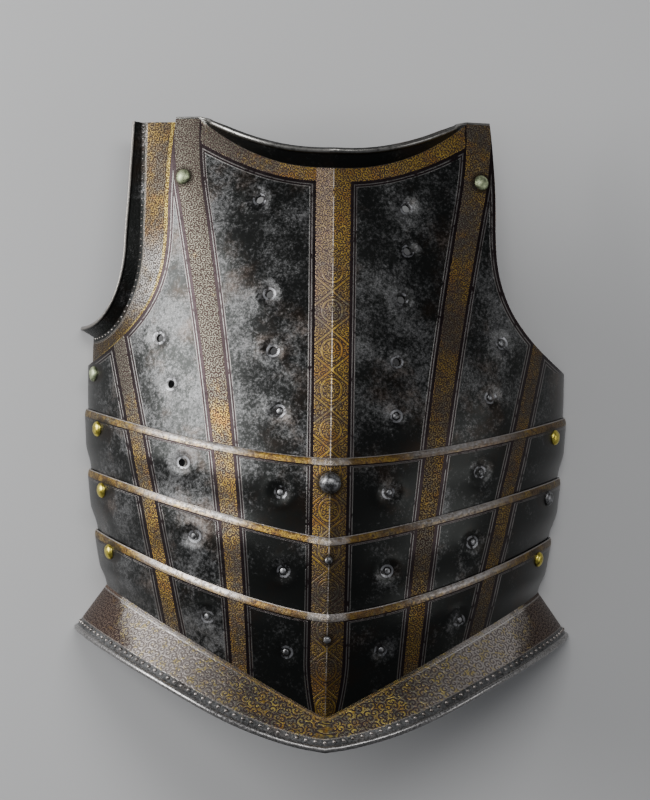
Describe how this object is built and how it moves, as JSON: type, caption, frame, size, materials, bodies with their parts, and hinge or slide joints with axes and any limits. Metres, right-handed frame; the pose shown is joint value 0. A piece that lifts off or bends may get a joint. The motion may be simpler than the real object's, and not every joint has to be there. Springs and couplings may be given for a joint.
{
  "type": "cuirass breastplate",
  "caption": "Keeled steel breastplate with lapped waist lames on side rivets, an arm gusset, a turned-out neck and waist flange, and etched gilt bands.",
  "frame": {"origin": "middle of the footprint, on the floor that the side edges rest on", "axes": "+Y up the body to the neck, +X to the right as seen from the front, +Z out of the chest"},
  "size_m": [0.3558, 0.4355, 0.1661],
  "materials": {
    "blackened_steel": "blackened, pitted and rubbed steel with etched and gilt bands",
    "brass": "domed brass, rubbed bright with dark tarnish round the head",
    "pale_brass": "domed brass with a pale greenish patina",
    "grey_steel": "worn grey steel"
  },
  "bodies": {
    "chest": {"main_plate": "blackened_steel", "arm_gusset": "blackened_steel", "shoulder_rivet_left": "pale_brass", "shoulder_rivet_right": "pale_brass", "gusset_rivet": "pale_brass", "lining_rivet_1": "grey_steel", "lining_rivet_7": "grey_steel", "lining_rivet_11": "grey_steel", "lining_rivet_12": "grey_steel"},
    "lame_1": {"waist_lame_1": "blackened_steel", "side_rivet_left_1": "brass", "side_rivet_right_1": "brass", "center_stud": "grey_steel", "lining_rivet_2": "grey_steel", "lining_rivet_8": "grey_steel", "lining_rivet_13": "grey_steel"},
    "lame_2": {"waist_lame_2": "blackened_steel", "side_rivet_left_2": "brass", "side_rivet_right_2": "grey_steel", "ridge_rivet_1": "grey_steel", "lining_rivet_3": "grey_steel", "lining_rivet_5": "grey_steel", "lining_rivet_9": "grey_steel", "lining_rivet_14": "grey_steel"},
    "waist": {"waist_plate": "blackened_steel", "side_rivet_left_3": "brass", "side_rivet_right_3": "brass", "ridge_rivet_2": "grey_steel", "lining_rivet_4": "grey_steel", "lining_rivet_6": "grey_steel", "lining_rivet_10": "grey_steel", "lining_rivet_15": "grey_steel"}
  },
  "joints": [
    {"name": "lame_1_pivot", "type": "hinge", "parent": "chest", "child": "lame_1", "pos_m": [0, -0.0035, 0.0306], "axis": [-1, 0, 0], "range_deg": [0, 3]},
    {"name": "lame_2_pivot", "type": "hinge", "parent": "lame_1", "child": "lame_2", "pos_m": [0, -0.0467, 0.0333], "axis": [-1, 0, 0], "range_deg": [0, 3]},
    {"name": "waist_pivot", "type": "hinge", "parent": "lame_2", "child": "waist", "pos_m": [0, -0.09, 0.0341], "axis": [-1, 0, 0], "range_deg": [0, 3]}
  ]
}
